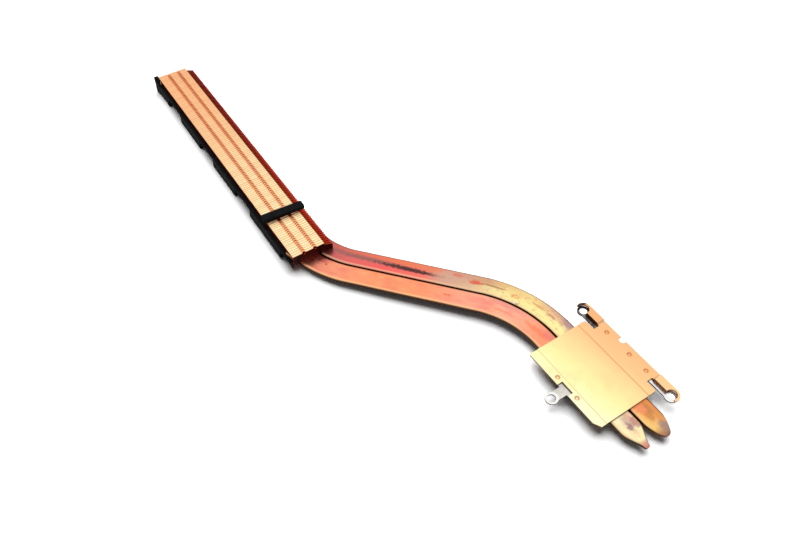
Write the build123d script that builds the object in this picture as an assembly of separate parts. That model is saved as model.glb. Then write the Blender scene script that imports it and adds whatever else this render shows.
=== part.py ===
from build123d import *
import os
from math import atan2, pi, tan

# Laptop heatsink in millimetres. The origin is the centre of the cold plate's contact face, which looks up
# (+Z). +Y runs along the fin stack, away from the plate, and the pipes lie flat on the floor below.

# Heat pipes: two round tubes pressed flat, side by side
tube_diameter = 6.0
pipe_thickness = 2.3
pipe_gap = 0.5
pipe_end_length = 2.5
pipe_end_inset = 2.0

# Route of the pair: straight under the plate, a little right of its middle, slanted, straight under the fins
pair_offset = 0.3
stack_offset = 52.7
lower_bend_y = 36.55
upper_bend_y = 97.8
lower_bend_radius = 44.4
upper_bend_radius = 36.2

# Tips of the pipes in front of the plate: one necked and pinched shut, one domed
pinched_tip_past_plate = 13.15
neck_length = 8.4
pinch_width = 2.3
pinch_thickness = 1.5
domed_tip_past_plate = 13.65
dome_length = 7.4
dome_shoulder_power = 1.5
dome_nose_power = 0.7
nose_width = 1.6
nose_thickness = 1.0
tip_steps = 4
far_end_steps = 2

# Cold plate: a copper sheet with a raised contact pad between two thinner flanges
plate_length = 34.7
plate_left = 13.1
plate_thickness = 0.8
pad_width = 19.0
pad_step = 0.12
plate_corner = 0.8
corner_cut_x = 1.5
corner_cut_y = 2.7
left_notch_depth = 2.2
left_notch_width = 5.3
edge_notch_depth = 1.8
edge_notch_width = 2.5
edge_notch_y = 3.85

# Tongues at the plate's right corners: stepped up, lipped on the inner side, hooked round the screws
tongue_root = 13.0
tongue_width = 3.2
tongue_slot = 2.5
tongue_lift = 0.6
crease_past_root = 0.4
crease_run = 0.7
lip_thickness = 0.5
lip_clearance = 0.05
hook_inner_radius = 1.9
hook_width = 0.9
hook_sweep = 115

# Steel leaves under the flanges, with a ring for each screw
leaf_thickness = 0.6
leaf_width = 3.8
ring_diameter = 4.7
screw_hole = 2.9
right_screw_x = 15.9
right_screw_spacing = 42.8
left_screw_x = -17.8
leaf_foot_x = -11.05
leaf_foot_width = 3.5
leaf_foot_length = 13.8
leaf_corner = 0.5

# Clinched studs: pressed down out of the flange, through the steel, and headed below it
clinch_dimple = 1.7
clinch_dimple_floor = 0.8
clinch_dimple_depth = 0.4
stud_diameter = 1.3
stud_clearance = 0.05
stud_head_diameter = 2.0
stud_head_height = 0.25
stud_sides = 8
left_clinch_spacing = 9.7
right_clinch_ys = (9.4, -1.8, -9.8)

# Fins: folded copper sheet, in a short block and a long one
fin_pitch = 1.165
fin_sheet = 0.2
fin_gap = 0.04
fin_height = 4.8
fin_depth = 17.1
fin_overhang_left = 1.14
short_block_fins = 18
long_block_fins = 101
block_gap = 0.15
stack_start = 98.85

# Shouldered right-hand corner of the fin, left open beside the top flange
cap_depth = 13.6
shoulder_run = 0.3
shoulder_drop = 0.8
slope_drop = 1.2

# Interlock: two rows of notches in the bent edge, each open to the flange in front
interlock_first = 4.8
interlock_spacing = 4.8
interlock_width = 1.5
interlock_reach = 0.7

# Side tab of the first and the last fin, flared out from the stack
tab_length = 4.35
tab_flare = 0.9
tab_height = 1.1
tab_below_flange = 0.25

# Foam gasket on the left face of the fins, with tabs that hang beside the pipe down to the floor
gasket_thickness = 1.74
gasket_start_inset = 0.6
gasket_rise = 2.6
gasket_band = 1.7
gasket_near_notch = 7.8
gasket_notch_first = 36.15
gasket_notch_width = 14.0
gasket_notch_pitch = 36.7
gasket_notch_count = 3

# Foam bar across the top of the fins, a little askew
bar_length = 17.6
bar_width = 3.8
bar_thickness = 1.5
bar_corner = 0.6
bar_skew = -4.3
bar_past_seam = 2.3
bar_overhang = 0.9

# Widths and places that follow from the sizes above
pipe_width = pi * (tube_diameter - pipe_thickness) / 2 + pipe_thickness
pipe_shift = (pipe_width + pipe_gap) / 2
turn = atan2(stack_offset + pair_offset, upper_bend_y - lower_bend_y)
plate_front = -plate_length / 2
plate_back = plate_length / 2
hook_outer_radius = hook_inner_radius + hook_width
plate_right = right_screw_x + hook_outer_radius
tongue_left = plate_right - tongue_width
slot_left = tongue_left - tongue_slot
crease = tongue_root + crease_past_root
tongue_start = crease + crease_run
right_screw_y = right_screw_spacing / 2
fin_left = -stack_offset - pipe_shift - pipe_width / 2 - fin_overhang_left
seam = stack_start + short_block_fins * fin_pitch + block_gap
stack_end = seam + long_block_fins * fin_pitch

# Levels, measured from the contact face
flange_top = -pad_step
plate_under = -plate_thickness
steel_under = plate_under - leaf_thickness
pipe_under = plate_under - pipe_thickness
pipe_middle = plate_under - pipe_thickness / 2
tongue_top = flange_top + tongue_lift
tongue_under = plate_under + tongue_lift
fin_under = plate_under
fin_top = fin_under + fin_height


def plan_box(left, right, front, back):
    """A rectangle in plan, given by its four sides."""
    return Pos((left + right) / 2, (front + back) / 2) * Rectangle(right - left, back - front)


def slab(plan, low, high):
    """A plan outline thickened from one level up to another."""
    return Pos(0, 0, low) * extrude(plan, amount=high - low, dir=(0, 0, 1))


def pipe_route(shift, start, end):
    """A pipe's centre line: the middle of the pair moved sideways, from under the plate to under the fins."""
    corner_lift = shift * tan(turn / 2)
    return FilletPolyline(
        (shift + pair_offset, start, pipe_middle),
        (shift + pair_offset, lower_bend_y + corner_lift, pipe_middle),
        (shift - stack_offset, upper_bend_y + corner_lift, pipe_middle),
        (shift - stack_offset, end, pipe_middle),
        radius=[lower_bend_radius + shift, upper_bend_radius - shift],
    )


def pipe_section(x, y, width, thickness):
    """The flat, round-sided section of a pipe, standing across its run."""
    return Plane(origin=(x, y, pipe_middle), x_dir=(1, 0, 0), z_dir=(0, 1, 0)) * SlotOverall(width, thickness)


def pinched_size(share):
    """Width and thickness of the neck, at a share of the way from the full pipe to the pinched end."""
    narrowing = share**2 * (3 - 2 * share)
    thinning = share**2
    width = pipe_width + (pinch_width - pipe_width) * narrowing
    return width, pipe_thickness + (pinch_thickness - pipe_thickness) * thinning


def domed_size(share):
    """Width and thickness of a dome, at a share of the way from the full pipe to its nose."""
    fullness = (1 - share**dome_shoulder_power) ** dome_nose_power
    thinning = share**2
    width = nose_width + (pipe_width - nose_width) * fullness
    return width, pipe_thickness + (nose_thickness - pipe_thickness) * thinning


def pipe_end(x, y, length, size_at, steps):
    """A closed end of a pipe, from its full section at one place to its nose a length further on."""
    shares = [step / steps for step in range(steps + 1)]
    return loft([pipe_section(x, y + length * share, *size_at(share)) for share in shares], ruled=True)


def heat_pipe(shift, tip_y, tip_length, tip_size):
    """A flattened pipe: its section swept along the route, closed at the tip and under the last fins."""
    shoulder = tip_y + tip_length
    far_y = stack_end - pipe_end_inset - pipe_end_length
    section = pipe_section(shift + pair_offset, shoulder, pipe_width, pipe_thickness)
    run = sweep(section, path=pipe_route(shift, shoulder, far_y))
    tip = pipe_end(shift + pair_offset, shoulder, -tip_length, tip_size, tip_steps)
    far_end = pipe_end(shift - stack_offset, far_y, pipe_end_length, domed_size, far_end_steps)
    return run + tip + far_end


def pinched_pipe():
    """The left pipe, necked in front of the plate."""
    return heat_pipe(-pipe_shift, plate_front - pinched_tip_past_plate, neck_length, pinched_size)


def domed_pipe():
    """The right pipe, domed in front of the plate."""
    return heat_pipe(pipe_shift, plate_front - domed_tip_past_plate, dome_length, domed_size)


def tongue():
    """The back tongue: joggled up off the flange, lipped towards the slot, hooked round the screw hole."""
    joggle = Polyline(
        (tongue_root, plate_under),
        (crease, plate_under),
        (tongue_start, tongue_under),
        (right_screw_y, tongue_under),
        (right_screw_y, tongue_top),
        (tongue_start, tongue_top),
        (crease, flange_top),
        (tongue_root, flange_top),
        close=True,
    )
    blade = extrude(Plane.YZ.offset(tongue_left) * make_face(joggle), amount=tongue_width, dir=(1, 0, 0))
    lip_plan = plan_box(tongue_left, tongue_left + lip_thickness, tongue_start, right_screw_y)
    lip = slab(lip_plan, plate_under + lip_clearance, tongue_top)
    screw = Pos(right_screw_x, right_screw_y)
    clear_of_screw = slab(screw * Circle(hook_inner_radius), plate_under, tongue_top)
    outer = CenterArc((0, 0), hook_outer_radius, 0, hook_sweep)
    inner = CenterArc((0, 0), hook_inner_radius, 0, hook_sweep)
    ring_part = make_face([outer, inner, Line(outer @ 0, inner @ 0), Line(outer @ 1, inner @ 1)])
    hook = slab(screw * ring_part, tongue_under, tongue_top)
    return blade + lip - clear_of_screw + hook


def stud_outline(diameter):
    """The outline of a clinched stud, its dimple or its hole, in plan."""
    return RegularPolygon(diameter / 2, stud_sides)


def clinch_places():
    """The studs of both flanges, in plan."""
    left_places = [(leaf_foot_x, side * left_clinch_spacing / 2) for side in (1, -1)]
    return left_places + [(right_screw_x, y) for y in right_clinch_ys]


def edge_notch():
    """The U-shaped notch in the right edge, in plan, cut through the flange and the steel under it."""
    notch_end = plate_right - edge_notch_depth + edge_notch_width / 2
    front = edge_notch_y - edge_notch_width / 2
    back = edge_notch_y + edge_notch_width / 2
    return Pos(notch_end, edge_notch_y) * Circle(edge_notch_width / 2) + plan_box(
        notch_end, plate_right, front, back
    )


def cold_plate():
    """The copper sheet: flanges, pad, tongues, and the studs that hold the steel."""
    sheet = plan_box(-plate_left, slot_left, plate_front, plate_back)
    sheet = fillet(sheet.vertices(), plate_corner)
    sheet += plan_box(pad_width / 2, plate_right, -tongue_root, tongue_root)
    corner = Polyline(
        (-plate_left, plate_front),
        (-plate_left + corner_cut_x, plate_front),
        (-plate_left, plate_front + corner_cut_y),
        close=True,
    )
    sheet -= make_face(corner)
    notch_half = left_notch_width / 2
    sheet -= plan_box(-plate_left, -plate_left + left_notch_depth, -notch_half, notch_half)
    sheet -= edge_notch()
    plate = slab(sheet, plate_under, flange_top)
    plate += slab(plan_box(-pad_width / 2, pad_width / 2, plate_front, plate_back), plate_under, 0)
    back_tongue = tongue()
    plate += back_tongue
    plate += mirror(back_tongue, about=Plane.XZ)
    for x, y in clinch_places():
        place = Pos(x, y)
        plate += slab(place * stud_outline(stud_diameter), steel_under, plate_under)
        plate += slab(place * stud_outline(stud_head_diameter), steel_under - stud_head_height, steel_under)
        mouth = Pos(x, y, flange_top) * stud_outline(clinch_dimple)
        floor = Pos(x, y, flange_top - clinch_dimple_depth) * stud_outline(clinch_dimple_floor)
        plate -= loft([floor, mouth], ruled=True)
    return plate


def stud_holes(low, high):
    """Holes in the steel that the studs pass through."""
    hole = stud_outline(stud_diameter + 2 * stud_clearance)
    return [slab(Pos(x, y) * hole, low, high) for x, y in clinch_places()]


def spring_strip_right():
    """The straight steel strip under the right flange, with a ring at each end."""
    half_width = leaf_width / 2
    plan = plan_box(right_screw_x - half_width, right_screw_x + half_width, -right_screw_y, right_screw_y)
    for side in (1, -1):
        plan += Pos(right_screw_x, side * right_screw_y) * Circle(ring_diameter / 2)
    for side in (1, -1):
        plan -= Pos(right_screw_x, side * right_screw_y) * Circle(screw_hole / 2)
    plan -= edge_notch()
    return slab(plan, steel_under, plate_under) - stud_holes(steel_under, plate_under)


def spring_leaf_left():
    """The T-shaped steel leaf under the left flange, with one ring at the end of its arm."""
    foot_half = leaf_foot_width / 2
    foot = plan_box(
        leaf_foot_x - foot_half, leaf_foot_x + foot_half, -leaf_foot_length / 2, leaf_foot_length / 2
    )
    plan = chamfer(foot.vertices(), leaf_corner)
    plan += plan_box(left_screw_x, leaf_foot_x, -leaf_width / 2, leaf_width / 2)
    plan += Pos(left_screw_x, 0) * Circle(ring_diameter / 2)
    plan -= Pos(left_screw_x, 0) * Circle(screw_hole / 2)
    return slab(plan, steel_under, plate_under) - stud_holes(steel_under, plate_under)


def fin():
    """One fin at the start of its row: a shouldered web, bent over at the top and at the foot."""
    flange_reach = fin_pitch - fin_gap
    shoulder_z = fin_top - shoulder_drop
    outline = Polyline(
        (0, fin_under),
        (0, fin_top),
        (cap_depth, fin_top),
        (cap_depth + shoulder_run, shoulder_z),
        (fin_depth, shoulder_z - slope_drop),
        (fin_depth, fin_under),
        close=True,
    )
    body = extrude(Plane.XZ * make_face(outline), amount=fin_sheet, dir=(0, 1, 0))
    body += slab(plan_box(0, cap_depth, 0, flange_reach), fin_top - fin_sheet, fin_top)
    body += slab(plan_box(0, fin_depth, 0, flange_reach), fin_under, fin_under + fin_sheet)
    for row in range(2):
        middle = interlock_first + row * interlock_spacing
        notch = Polyline(
            (middle - interlock_width / 2, 0),
            (middle + interlock_width / 2, 0),
            (middle, interlock_reach),
            close=True,
        )
        body -= slab(make_face(notch), fin_top - fin_sheet, fin_top)
    return body


def fin_tab():
    """The side tab of the first fin: it leaves the web's left edge and flares out along the stack."""
    root_end = tab_length * fin_sheet / tab_flare
    plan = Polyline(
        (0, 0),
        (-tab_flare, tab_length),
        (-tab_flare + fin_sheet, tab_length),
        (0, root_end),
        close=True,
    )
    tab_top = fin_top - fin_sheet - tab_below_flange
    return slab(make_face(plan), tab_top - tab_height, tab_top)


def fin_row(start, first, last):
    """The fins of a block from one number up to another, each a solid of its own."""
    single = fin()
    return [Pos(fin_left, start + number * fin_pitch) * single for number in range(first, last)]


def fin_end_near():
    """The first fin of the short block, with its tab running back along the stack."""
    return Pos(fin_left, stack_start) * (fin() + fin_tab())


def fin_end_far():
    """The last fin of the long block, with its tab running forward along the stack."""
    tab = Pos(0, fin_sheet) * mirror(fin_tab(), about=Plane.XZ)
    return Pos(fin_left, stack_end - fin_pitch) * (fin() + tab)


def side_gasket():
    """The foam strip: a band along the fins with notches between its hanging tabs."""
    gasket_start = stack_start + gasket_start_inset
    gasket_top = fin_under + gasket_rise
    band_under = gasket_top - gasket_band
    outline = plan_box(gasket_start, stack_end, pipe_under, gasket_top)
    outline -= plan_box(gasket_start, gasket_start + gasket_near_notch, pipe_under, band_under)
    for number in range(gasket_notch_count):
        notch_start = stack_start + gasket_notch_first + number * gasket_notch_pitch
        outline -= plan_box(notch_start, notch_start + gasket_notch_width, pipe_under, band_under)
    outer_face = Plane.YZ.offset(fin_left - gasket_thickness)
    return extrude(outer_face * outline, amount=gasket_thickness, dir=(1, 0, 0))


def foam_bar():
    """The foam bar: stuck on the fins just past the seam between the blocks."""
    middle = Pos(fin_left - bar_overhang + bar_length / 2, seam + bar_past_seam)
    plan = middle * Rot(0, 0, bar_skew) * RectangleRounded(bar_length, bar_width, bar_corner)
    return slab(plan, fin_top, fin_top + bar_thickness)


pieces = {
    "cold_plate": [cold_plate()],
    "heat_pipe_left": [pinched_pipe()],
    "heat_pipe_right": [domed_pipe()],
    "fin_end_near": [fin_end_near()],
    "fin_stack_short": fin_row(stack_start, 1, short_block_fins),
    "fin_stack_long": fin_row(seam, 0, long_block_fins - 1),
    "fin_end_far": [fin_end_far()],
    "spring_leaf_left": [spring_leaf_left()],
    "spring_strip_right": [spring_strip_right()],
    "side_gasket": [side_gasket()],
    "foam_bar": [foam_bar()],
}

os.makedirs("parts", exist_ok=True)
for name, solids in pieces.items():
    export_step(Compound(label=name, children=solids), f"parts/{name}.step")
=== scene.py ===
import math
import random

import bmesh
import bpy
from mathutils import Matrix, Vector, noise


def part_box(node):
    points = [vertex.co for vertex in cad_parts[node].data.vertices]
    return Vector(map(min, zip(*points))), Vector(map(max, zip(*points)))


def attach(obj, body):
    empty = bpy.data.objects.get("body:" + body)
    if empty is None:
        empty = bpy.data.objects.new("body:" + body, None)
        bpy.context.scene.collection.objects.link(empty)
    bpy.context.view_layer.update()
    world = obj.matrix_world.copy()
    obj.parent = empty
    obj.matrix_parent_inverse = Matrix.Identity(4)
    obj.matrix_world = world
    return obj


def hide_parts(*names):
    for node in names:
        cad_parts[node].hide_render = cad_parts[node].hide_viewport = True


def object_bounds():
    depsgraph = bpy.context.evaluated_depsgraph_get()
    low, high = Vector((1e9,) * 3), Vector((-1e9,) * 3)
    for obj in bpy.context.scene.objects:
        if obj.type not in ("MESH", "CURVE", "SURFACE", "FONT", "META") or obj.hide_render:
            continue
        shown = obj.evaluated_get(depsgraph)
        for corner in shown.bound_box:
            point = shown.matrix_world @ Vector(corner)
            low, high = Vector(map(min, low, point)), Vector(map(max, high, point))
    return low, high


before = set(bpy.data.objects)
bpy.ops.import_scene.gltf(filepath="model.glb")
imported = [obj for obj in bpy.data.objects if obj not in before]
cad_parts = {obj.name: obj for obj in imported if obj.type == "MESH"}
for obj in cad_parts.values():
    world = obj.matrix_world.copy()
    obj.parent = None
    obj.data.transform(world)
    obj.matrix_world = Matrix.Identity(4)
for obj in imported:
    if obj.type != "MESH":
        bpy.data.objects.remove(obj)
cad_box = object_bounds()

# Heat pipes: two copper tubes pressed flat, laid side by side and bent together in a shallow S.
# The left one is necked and pinched shut in front of the plate, the right one is spun to a blunt dome.
# Bare drawn copper, tinted by the soldering oven and stained by handling, with a highlight and shade
# painted along its sides. Sizes are in millimetres.
mm = 0.001


def box_mm(node):
    """Low and high corners of a CAD node's box, in millimetres."""
    return [[value / mm for value in corner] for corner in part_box(node)]


pipe_low, pipe_high = box_mm("heat_pipe_left")
pipe_middle = (pipe_low[2] + pipe_high[2]) / 2
pipe_far_end = pipe_high[1]
pinched_tip_y = pipe_low[1]
domed_tip_y = box_mm("heat_pipe_right")[0][1]
pipe_width = 8.36
pipe_thickness = 2.3
pipe_shift = 4.306
pair_offset = 0.3
tip_drift = 0.55
drift_end = 12.0
drift_run = 36.0
stack_offset = 52.7
lower_bend_y = 36.55
upper_bend_y = 97.8
lower_bend_radius = 44.4
upper_bend_radius = 36.2
bend_turn = math.atan2(stack_offset + pair_offset, upper_bend_y - lower_bend_y)
covered_by_fins = 118.0
neck_length = 8.4
pinch_width = 2.3
pinch_thickness = 1.5
crimp_rounding = 0.7
crimp_edge_width = 0.35
dome_length = 7.4
dome_fullness = 1.5
dome_bluntness = 0.7
nose_width = 1.6
nose_thickness = 1.0
nose_rounding = 0.5
nose_edge_width = 0.6
tip_edge_thickness = 0.3
far_end_length = 2.5
far_end_narrowing = 5.5
far_end_thinning = 1.2
pipe_unevenness = 0.012
pipe_colour_reach = 160.0


def smooth_share(share):
    """A share from 0 to 1 eased at both ends."""
    held = min(max(share, 0.0), 1.0)
    return held * held * (3 - 2 * held)


def pipe_place(shift, tip_y, travel):
    """Plan position and heading of a pipe's centre line, at a distance from its tip."""
    lift = shift * math.tan(bend_turn / 2)
    radii = (lower_bend_radius + shift, upper_bend_radius - shift)
    tangents = [radius * math.tan(bend_turn / 2) for radius in radii]
    slant = math.hypot(stack_offset + pair_offset, upper_bend_y - lower_bend_y)
    straight = lower_bend_y + lift - tangents[0] - tip_y
    runs = (straight, radii[0] * bend_turn, slant - sum(tangents), radii[1] * bend_turn)
    x, y, heading = shift + pair_offset, tip_y, 0.0
    for number, run in enumerate(runs):
        step = min(travel, run)
        if number in (1, 3):
            side = 1 if number == 1 else -1
            radius = radii[number // 2]
            turned = heading + side * step / radius
            x += side * radius * (math.cos(turned) - math.cos(heading))
            y += side * radius * (math.sin(turned) - math.sin(heading))
            heading = turned
        else:
            x -= step * math.sin(heading)
            y += step * math.cos(heading)
        travel -= step
        if travel <= 0:
            break
    drift = tip_drift * smooth_share((drift_end - y) / drift_run)
    return x + drift, y + max(travel, 0), heading


def pipe_outline(width, thickness, sink):
    """Points across a flattened tube: each has a sideways and an upward offset, faces sunk a little."""
    shares = (0.0, 0.025, 0.1, 0.22, 0.36, 0.5, 0.64, 0.78, 0.9, 0.975, 1.0)
    arc_steps = 12
    least_flat = 0.05
    half = thickness / 2
    flat = max(width - thickness, least_flat) / 2
    points = []
    for side in (1, -1):
        for share in shares:
            dip = sink * 4 * share * (1 - share)
            points.append((side * flat * (2 * share - 1), side * (half - dip)))
        for step in range(1, arc_steps):
            angle = math.pi / 2 - math.pi * step / arc_steps
            points.append((side * (flat + half * math.cos(angle)), side * half * math.sin(angle)))
    return points


def rounded_end(distance, rounding, width, edge_width, thickness):
    """A tip's width and thickness, drawn in over its last stretch so that its edge is round."""
    share = math.sqrt(1 - max(1 - distance / rounding, 0) ** 2)
    wide = width * (edge_width + (1 - edge_width) * share)
    return wide, thickness * (tip_edge_thickness + (1 - tip_edge_thickness) * share)


def pinched_size(distance):
    """Width and thickness of the left pipe near its tip: a neck that ends in a flat crimp."""
    share = max(1 - distance / neck_length, 0)
    width = pipe_width + (pinch_width - pipe_width) * smooth_share(share)
    thickness = pipe_thickness + (pinch_thickness - pipe_thickness) * share**2
    return rounded_end(distance, crimp_rounding, width, crimp_edge_width, thickness)


def domed_size(distance):
    """Width and thickness of the right pipe near its tip: a blunt dome."""
    share = max(1 - distance / dome_length, 0)
    width = nose_width + (pipe_width - nose_width) * (1 - share**dome_fullness) ** dome_bluntness
    thickness = pipe_thickness + (nose_thickness - pipe_thickness) * share**2
    return rounded_end(distance, nose_rounding, width, nose_edge_width, thickness)


def make_piece(name, points, faces, crease_degrees=40):
    """A new mesh object from points in millimetres, shaded smooth up to a crease angle."""
    mesh = bpy.data.meshes.new(name)
    mesh.from_pydata([Vector(point) * mm for point in points], [], faces)
    mesh.polygons.foreach_set("use_smooth", [True] * len(mesh.polygons))
    mesh.set_sharp_from_angle(angle=math.radians(crease_degrees))
    mesh.update()
    piece = bpy.data.objects.new(name, mesh)
    bpy.context.collection.objects.link(piece)
    return piece


def store(piece, label, values):
    """Keeps one number per point on a piece, for its material to read."""
    layer = piece.data.attributes.new(label, "FLOAT", "POINT")
    layer.data.foreach_set("value", values)


def pipe_stations(shift, tip_y):
    """Distances from the tip at which a pipe's section stands: close at the ends, wide under the fins."""
    tip_stretch = 12
    tip_step, open_step, covered_step = 0.4, 0.9, 3
    stations = [0, 0.04, 0.12, 0.24, 0.4, 0.6, 0.8]
    while stations[-1] < tip_stretch:
        stations.append(stations[-1] + tip_step)
    while pipe_place(shift, tip_y, stations[-1])[1] < covered_by_fins:
        stations.append(stations[-1] + open_step)
    reach = stations[-1] + pipe_far_end - pipe_place(shift, tip_y, stations[-1])[1]
    while stations[-1] < reach - far_end_length - covered_step:
        stations.append(stations[-1] + covered_step)
    return stations + [reach - far_end_length * (1 - share) for share in (0, 0.4, 0.7, 0.9, 1)]


def build_pipe(name, shift, tip_y, size_at, sink, seed):
    """A flattened pipe from its tip to under the last fins, with slightly uneven faces."""
    even_tip = 1.0
    sink_from_tip, sink_tip_run = 6.0, 8.0
    sink_from_end, sink_end_run = 4.0, 10.0
    ripple_along, ripple_across = 0.16, 0.3
    stations = pipe_stations(shift, tip_y)
    reach = stations[-1]
    points, faces, along, across, upward = [], [], [], [], []
    for distance in stations:
        x, y, heading = pipe_place(shift, tip_y, distance)
        width, thickness = size_at(distance)
        tail = smooth_share(1 - (reach - distance) / far_end_length)
        width -= tail * far_end_narrowing
        thickness -= tail * far_end_thinning
        sunk_by_tip = smooth_share((distance - sink_from_tip) / sink_tip_run)
        sunk_by_end = smooth_share((reach - distance - sink_from_end) / sink_end_run)
        uneven = pipe_unevenness if distance > even_tip else 0.0
        for aside, up in pipe_outline(width, thickness, sink * sunk_by_tip * sunk_by_end):
            ripple = noise.noise(Vector((distance * ripple_along, aside * ripple_across, seed + up)))
            swell = 1 - uneven * (1 + ripple)
            out = aside * swell
            place = (x + out * math.cos(heading), y + out * math.sin(heading), pipe_middle + up * swell)
            points.append(place)
            along.append(distance)
            across.append(aside / (pipe_width / 2))
            upward.append(up / (thickness / 2))
    ring = len(points) // len(stations)
    for row in range(len(stations) - 1):
        for step in range(ring):
            here, beside = row * ring + step, row * ring + (step + 1) % ring
            faces.append((here, here + ring, beside + ring, beside))
    faces.append(tuple(range(ring)))
    faces.append(tuple(reversed(range(len(points) - ring, len(points)))))
    piece = make_piece(name, points, faces)
    store(piece, "along", along)
    store(piece, "across", across)
    store(piece, "upward", upward)
    return piece


def tint(red, green, blue):
    """A colour as seen on screen, 0 to 255, in the linear values that shaders take."""
    linear = []
    for level in (red, green, blue):
        share = level / 255
        linear.append(share / 12.92 if share <= 0.04045 else ((share + 0.055) / 1.055) ** 2.4)
    return (*linear, 1.0)


def put(tree, kind, inputs=None, **settings):
    """A shader node with its settings, and its inputs set or linked by name or number."""
    made = tree.nodes.new(kind)
    for label, value in settings.items():
        setattr(made, label, value)
    for label, value in (inputs or {}).items():
        if isinstance(value, bpy.types.NodeSocket):
            tree.links.new(value, made.inputs[label])
        else:
            made.inputs[label].default_value = value
    return made


def work(tree, operation, first, second=0.0, clamp=False):
    """One sum on two values or sockets."""
    spec = {0: first, 1: second}
    return put(tree, "ShaderNodeMath", spec, operation=operation, use_clamp=clamp).outputs[0]


def rise(tree, value, low, high):
    """A mask that goes smoothly from 0 to 1 as a value goes from low to high."""
    spec = {"Value": value, "From Min": low, "From Max": high}
    return put(tree, "ShaderNodeMapRange", spec, interpolation_type="SMOOTHSTEP").outputs[0]


def spread(tree, value, low, high):
    """Noise turned into an even spread of values from low to high."""
    noise_low, noise_high = 0.3, 0.7
    spec = {"Value": value, "From Min": noise_low, "From Max": noise_high, "To Min": low, "To Max": high}
    return put(tree, "ShaderNodeMapRange", spec).outputs[0]


def times(tree, first, second):
    """Two masks or values multiplied."""
    return work(tree, "MULTIPLY", first, second)


def mix_colour(tree, mask, base, over):
    """One colour laid over another by a mask."""
    return put(tree, "ShaderNodeMix", {0: mask, 6: base, 7: over}, data_type="RGBA").outputs[2]


def tints_along(tree, value, longest, stops):
    """Colours along a value, from (place, colour) pairs in the value's own unit."""
    spec = {"Value": value, "From Min": 0.0, "From Max": longest}
    share = put(tree, "ShaderNodeMapRange", spec).outputs[0]
    ramp = put(tree, "ShaderNodeValToRGB", {0: share})
    bands = ramp.color_ramp.elements
    while len(bands) < len(stops):
        bands.new(1.0)
    for band, (place, colour) in zip(bands, stops):
        band.position = place / longest
        band.color = colour
    return ramp.outputs[0]


def cloud(tree, vector, scale, detail=3.0, roughness=0.55, distortion=0.0):
    """Soft noise over a vector, from about 0.25 to 0.75."""
    spec = {"Vector": vector, "Scale": scale, "Detail": detail}
    spec.update({"Roughness": roughness, "Distortion": distortion})
    return put(tree, "ShaderNodeTexNoise", spec).outputs[0]


def attribute(tree, label):
    """A number stored on the piece's points."""
    return put(tree, "ShaderNodeAttribute", attribute_name=label).outputs["Fac"]


def position_mm(tree):
    """The point on the piece, in millimetres in the object's own frame."""
    place = put(tree, "ShaderNodeTexCoord").outputs["Object"]
    return put(tree, "ShaderNodeVectorMath", {0: place, "Scale": 1 / mm}, operation="SCALE").outputs[0]


def split(tree, vector):
    """The three numbers of a vector."""
    return put(tree, "ShaderNodeSeparateXYZ", {0: vector}).outputs


def stretched(tree, vector, stretch):
    """A vector with its own stretch along each axis."""
    return put(tree, "ShaderNodeVectorMath", {0: vector, 1: stretch}, operation="MULTIPLY").outputs[0]


def new_group(label, inputs, outputs):
    """An empty shader node group with named float or vector inputs and float outputs."""
    group = bpy.data.node_groups.new(label, "ShaderNodeTree")
    for name, kind in inputs:
        group.interface.new_socket(name, in_out="INPUT", socket_type=kind)
    for name in outputs:
        group.interface.new_socket(name, in_out="OUTPUT", socket_type="NodeSocketFloat")
    entry = group.nodes.new("NodeGroupInput")
    leave = group.nodes.new("NodeGroupOutput")
    return group, entry.outputs, leave.inputs


def metal_wear_group():
    """Wear that sheet and tube share: broad tarnish, fine grain along the rolling, stray scratches."""
    inputs = (
        ("Position", "NodeSocketVector"),
        ("Stretch", "NodeSocketVector"),
        ("Scratch Amount", "NodeSocketFloat"),
    )
    scratch_slant = (0.35, 0.9, 0.5)
    scratch_width = 0.018
    group, given, result = new_group("metal_wear", inputs, ("Tarnish", "Grain", "Scratches", "Height"))
    place = given["Position"]
    tarnish = cloud(group, place, 0.11, detail=4.0, roughness=0.6, distortion=0.6)
    grain = cloud(group, stretched(group, place, given["Stretch"]), 1.0, detail=5.0, roughness=0.65)
    cells = {"Vector": stretched(group, place, scratch_slant), "Scale": 0.42, "Randomness": 1.0}
    lines = put(group, "ShaderNodeTexVoronoi", cells, feature="DISTANCE_TO_EDGE").outputs[0]
    thin = rise(group, lines, scratch_width, 0.0)
    kept = rise(group, cloud(group, place, 0.45, detail=2.0), 0.56, 0.66)
    scratches = work(group, "MULTIPLY", times(group, thin, kept), given["Scratch Amount"], clamp=True)
    height = work(group, "SUBTRACT", times(group, grain, 0.5), scratches)
    worn = {"Tarnish": tarnish, "Grain": grain, "Scratches": scratches, "Height": height}
    for label, value in worn.items():
        group.links.new(value, result[label])
    return group


metal_wear = metal_wear_group()


def wear(tree, stretch, scratch_amount):
    """The shared wear over this piece, with its own grain direction."""
    spec = {"Position": position_mm(tree), "Stretch": stretch, "Scratch Amount": scratch_amount}
    return put(tree, "ShaderNodeGroup", spec, node_tree=metal_wear).outputs


def new_material(label):
    """A material with an empty tree but for its Principled shader, ready to be wired."""
    material = bpy.data.materials.new(label)
    material.use_nodes = True
    tree = material.node_tree
    return material, tree, tree.nodes["Principled BSDF"]


def finish_metal(tree, shader, colour, worn, rough_range, strength, depth):
    """Wires a bare metal: its colour, a roughness from the grain, and a bump whose depth is in metres."""
    shader.inputs["Metallic"].default_value = 1.0
    tree.links.new(colour, shader.inputs["Base Color"])
    tree.links.new(spread(tree, worn["Grain"], *rough_range), shader.inputs["Roughness"])
    bump = {"Height": worn["Height"], "Strength": strength, "Distance": depth}
    raised = put(tree, "ShaderNodeBump", bump)
    tree.links.new(raised.outputs[0], shader.inputs["Normal"])


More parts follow.
